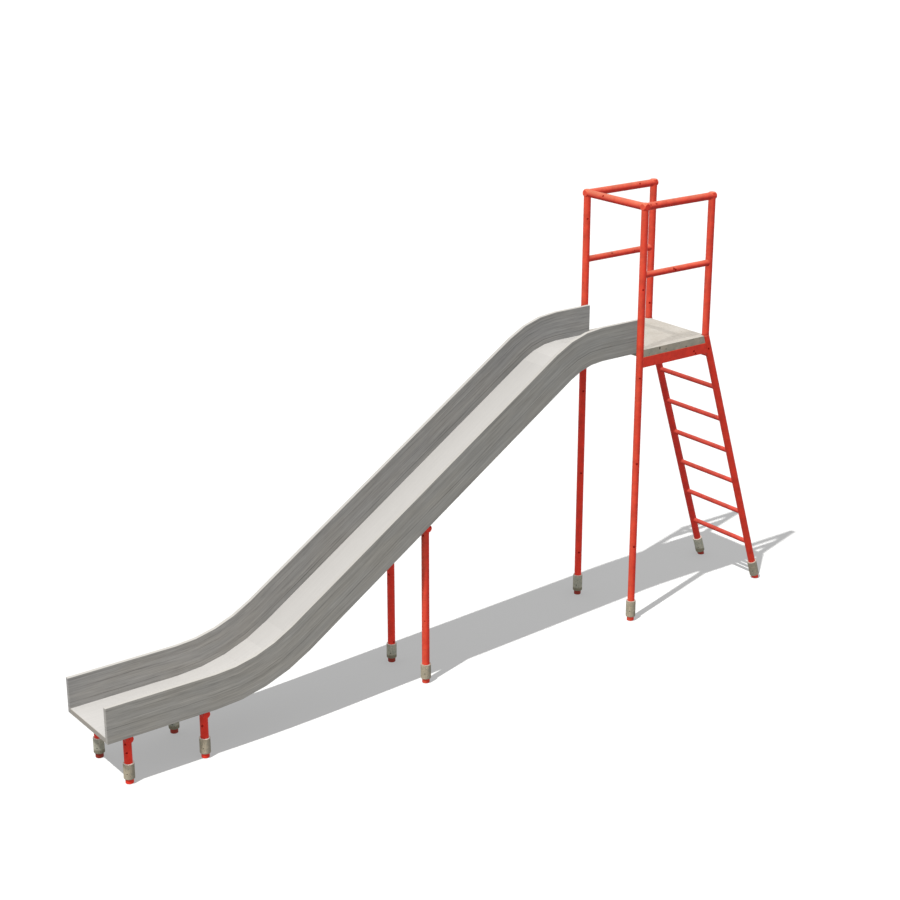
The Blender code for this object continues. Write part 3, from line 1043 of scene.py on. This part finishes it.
def makeChute():
    low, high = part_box("chute_bed")
    bed = makePlank(low.y, high.y, -chute["bedThick"], 0.0)
    roundEdges(bed, chute["edgeRound"])
    finishPlank(bed, "slideBed", "chute_bed", bedPale)
    low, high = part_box("chute_side_left")
    wall = makePlank(low.y, high.y, -chute["bedThick"], chute["wallHeight"])
    roundEdges(wall, chute["edgeRound"])
    twin = copyOf(wall, (0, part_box("chute_side_right")[0].y - low.y, 0))
    finishPlank(wall, "slideWall_left", "chute_side_left", wallGrey)
    finishPlank(twin, "slideWall_right", "chute_side_right", wallGrey)


makeChute()
print("chute done")


# Supports under the chute

supports = {"names": ["mid", "low_rear", "low_front"], "capRound": 0.003}


def makeSupports():
    low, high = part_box("cross_tube_mid")
    centre = middle("cross_tube_mid")
    ends = [(centre.x, low.y, centre.z), (centre.x, high.y, centre.z)]
    across = roundEnds(addTube(*ends), ends, supports["capRound"])
    others = [copyOf(across, middle(f"cross_tube_{name}") - centre) for name in supports["names"][1:]]
    for name, tube in zip(supports["names"], [across, *others]):
        finishPiece(tube, f"crossTube_{name}", f"cross_tube_{name}", redPaint)
    for name in supports["names"]:
        x, _, z = middle(f"cross_tube_{name}")
        y = middle(f"{name}_post_left").y
        post = addTube((x, y, 0), (x, y, z))
        roundEnds(post, [(x, y, 0)])
        combine(post, [saddleBead((x, y, z), (0, 0, -1), (0, 1, 0), tubeRadius, tubeRadius)], "UNION")
        over = tubes["overrun"]
        seat = addTube((x, y - over, z), (x, y + over, z), tubeRadius + tubes["gap"])
        combine(post, [seat], "DIFFERENCE")
        finishPair(post, copyOf(post, (0, -2 * y, 0)), f"{name}Post", f"{name}_post")


makeSupports()
print("supports done")


# Cast sleeves round the feet

sleeves = {
    "turnSteps": 72,
    "heightSteps": 24,         # cuts up the outer face
    "topRound": 0.0018,
    "topRise": 0.0015,         # the cast rim stands a little proud
    "footRound": 0.0050,
    "roughness": 0.0013,       # how uneven the cast surface is
    "lumpSize": 0.020,
    "pitOut": 0.2,             # how far a pit's middle lies outside, as a share of its radius
    # pits: degrees round the sleeve, height as a share, radius
    "pits": [
        (214, 0.40, 0.0043), (229, 0.72, 0.0027), (196, 0.60, 0.0023), (243, 0.24, 0.0024),
        (20, 0.30, 0.0036), (75, 0.72, 0.0026), (118, 0.44, 0.0040), (160, 0.20, 0.0027),
        (290, 0.80, 0.0024), (333, 0.52, 0.0036)],
}


def modelSleeve(like, turn):
    # a cast collar standing on the middle of the ground, to be copied onto each foot
    outer = sizeOf("mid_sleeve_left").x / 2
    inner = tubeRadius + tubes["gap"]
    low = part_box(like)[0].z
    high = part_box(like)[1].z + sleeves["topRise"]
    # the section of the wall, as a flat plate standing beside the axis
    clearSelection()
    bpy.ops.mesh.primitive_plane_add(
        size=1, location=((inner + outer) / 2, 0, (low + high) / 2), rotation=(math.pi / 2, 0, 0))
    sleeve = bpy.context.object
    sleeve.scale = (outer - inner, high - low, 1)
    fixPlace()
    startEdit(sleeve, "VERT")
    for level, width in ((high, sleeves["topRound"]), (low, sleeves["footRound"])):
        pick(sleeve, "VERT",
             lambda corner: corner.co.x > inner + 0.004 and abs(corner.co.z - level) < 1e-5)
        bpy.ops.mesh.bevel(offset=width, segments=4, affect="VERTICES")
    bpy.ops.mesh.select_mode(type="EDGE")
    pick(sleeve, "EDGE", lambda edge: all(corner.co.x > outer - 1e-5 for corner in edge.verts))
    bpy.ops.mesh.subdivide(number_cuts=sleeves["heightSteps"])
    bpy.ops.mesh.select_all(action="SELECT")
    bpy.ops.mesh.delete(type="ONLY_FACE")
    bpy.ops.mesh.select_all(action="SELECT")
    bpy.ops.mesh.spin(steps=sleeves["turnSteps"], angle=2 * math.pi, center=(0, 0, 0), axis=(0, 0, 1))
    bpy.ops.mesh.select_all(action="SELECT")
    bpy.ops.mesh.remove_doubles(threshold=tubes["sliver"])
    bpy.ops.mesh.normals_make_consistent(inside=False)
    endEdit()
    # lumps on the outside only
    outside = sleeve.vertex_groups.new(name="outside")
    outside.add([corner.index for corner in sleeve.data.vertices
                 if corner.co.xy.length > inner + 0.003], 1.0, "REPLACE")
    lumps = sleeve.modifiers.new("lumps", "DISPLACE")
    lumps.texture = lumpTexture
    lumps.texture_coords = "LOCAL"
    lumps.vertex_group = "outside"
    lumps.strength = sleeves["roughness"]
    lumps.mid_level = 1.0
    applyAll(sleeve)
    sleeve.data.materials.append(sleeveStone)
    pits = []
    for degrees, up, radius in sleeves["pits"]:
        angle = math.radians(degrees + turn)
        reach = outer + radius * sleeves["pitOut"]
        place = (reach * math.cos(angle), reach * math.sin(angle), low + up * (high - low))
        pits.append(addPit(place, radius))
    return combine(sleeve, pits, "DIFFERENCE")


def fitSleeve(model, group, side, foot, lean=0.0):
    sleeve = copyOf(model)
    sleeve.rotation_euler = (0, -lean, 0)
    sleeve.location = foot
    fixPlace()
    finishPiece(sleeve, f"{group}Sleeve_{side}", f"{group}_sleeve_{side}",
                sleeveStone, 40, [pitDirtAndShade])


lumpTexture = bpy.data.textures.new("castLumps", "CLOUDS")
lumpTexture.noise_scale = sleeves["lumpSize"]
lumpTexture.noise_depth = 3
tallSleeve = modelSleeve("front_sleeve_left", 0)
shortSleeve = modelSleeve("mid_sleeve_left", 9)
for side, sign in sides.items():
    fitSleeve(tallSleeve, "front", side, (frontX, sign * postY, 0))
    fitSleeve(tallSleeve, "ladder", side, ladderPoint(0, sign * postY), ladderLean)
    for group in supports["names"]:
        centre = middle(f"{group}_sleeve_{side}")
        fitSleeve(shortSleeve, group, side, (centre.x, centre.y, 0))
for model in (tallSleeve, shortSleeve):
    bpy.data.objects.remove(model)
print("sleeves done")


# Floor, light and camera

studio = {
    "floorSize": 400.0,
    "floorTone": (0.20, 0.20, 0.20),
    "floorGlow": 0.335,
    "skyBelow": 0.26,                    # the soft light is stronger from above
    "skyAbove": 0.80,
    "sunTint": (1.0, 0.99, 0.97),
    "sunWay": (0.4706, 0.1075, -1.0),    # which way the light on the slide travels
    "floorSunWay": (0.515, 0.153, -1.0),
    "lowSunWay": (0.560, 0.160, -1.0),   # slips in under the chute, onto the low feet
    "softAngle": 4.0,
    "crispAngle": 0.6,
    "lowAngle": 3.0,
    # how strong each sun is, in multiples of pi
    "softSun": 0.64,
    "crispSun": 0.25,
    "lowSun": 0.83,
    "floorSun": 3.8,
}


def makeFloor():
    clearSelection()
    bpy.ops.mesh.primitive_plane_add(size=studio["floorSize"], location=(0, 0, 0))
    floor = bpy.context.object
    floor.name = "paleFloor"
    material, tree, shader = newMaterial("palePaper", studio["floorTone"], 1.0)
    shader.inputs["Specular IOR Level"].default_value = 0.0
    shader.inputs["Emission Color"].default_value = (1, 1, 1, 1)
    shader.inputs["Emission Strength"].default_value = studio["floorGlow"]
    floor.data.materials.append(material)
    # no bounce from the floor, so the slide's undersides stay in soft shade
    floor.visible_diffuse = False
    floor.visible_glossy = False
    return floor


def addSun(name, way, angle, group):
    clearSelection()
    bpy.ops.object.light_add(type="SUN", location=(0, 0, 6))
    sun = bpy.context.object
    sun.name = name
    sun.rotation_euler = Vector(studio[way]).to_track_quat("-Z", "Y").to_euler()
    sun.data.energy = studio[name] * math.pi
    sun.data.angle = math.radians(studio[angle])
    sun.data.color = studio["sunTint"]
    sun.light_linking.receiver_collection = group
    return sun


def gather(name, pieces):
    collection = bpy.data.collections.new(name)
    for piece in pieces:
        collection.objects.link(piece)
    return collection


def makeLights(floor):
    lowPieces = [piece for piece in bpy.data.objects
                 if piece.name.startswith(("low_", "midPost_left", "midSleeve_left"))]
    mainPieces = gather("mainPieces", [floor, *lowPieces])
    for item in mainPieces.collection_objects:
        item.light_linking.link_state = "EXCLUDE"
    softSun = addSun("softSun", "sunWay", "softAngle", mainPieces)
    # only the broad chute stops the soft light, so a thin tube throws one crisp faint shadow
    softSun.light_linking.blocker_collection = gather("chuteOnly", [
        bpy.data.objects[name] for name in ("slideBed", "slideWall_left", "slideWall_right")])
    addSun("crispSun", "sunWay", "crispAngle", mainPieces)
    addSun("lowSun", "lowSunWay", "lowAngle", gather("underChute", lowPieces))
    addSun("floorSun", "floorSunWay", "crispAngle", gather("floorOnly", [floor]))
    world = bpy.data.worlds.new("softSky")
    world.use_nodes = True
    sky = world.node_tree.nodes["Background"]
    sky.inputs["Color"].default_value = (1, 1, 1, 1)
    # plain white behind the slide, softer as a light and stronger from above
    tree = world.node_tree
    seen = addNode(tree, "ShaderNodeLightPath").outputs["Is Camera Ray"]
    up = partsOf(tree, addNode(tree, "ShaderNodeTexCoord").outputs["Generated"])["Z"]
    soft = remap(tree, up, -1, 1, studio["skyBelow"], studio["skyAbove"])
    tree.links.new(sums(tree, "MAXIMUM", soft, seen), sky.inputs["Strength"])
    bpy.context.scene.world = world


view = {
    "place": (-6.716027, -8.902962, 5.449569),
    "tilt": 70.500573,
    "heading": -37.024993,
    "focal": 72.299872,
    "sensor": 36.0,
}


def makeCamera():
    clearSelection()
    bpy.ops.object.camera_add(
        location=view["place"], rotation=(math.radians(view["tilt"]), 0, math.radians(view["heading"])))
    camera = bpy.context.object
    camera.name = "pictureCamera"
    camera.data.sensor_width = view["sensor"]
    camera.data.lens = view["focal"]
    camera.data.clip_end = 500
    bpy.context.scene.camera = camera
    bpy.context.scene.view_settings.view_transform = "Standard"


makeLights(makeFloor())
makeCamera()
print("studio ready")
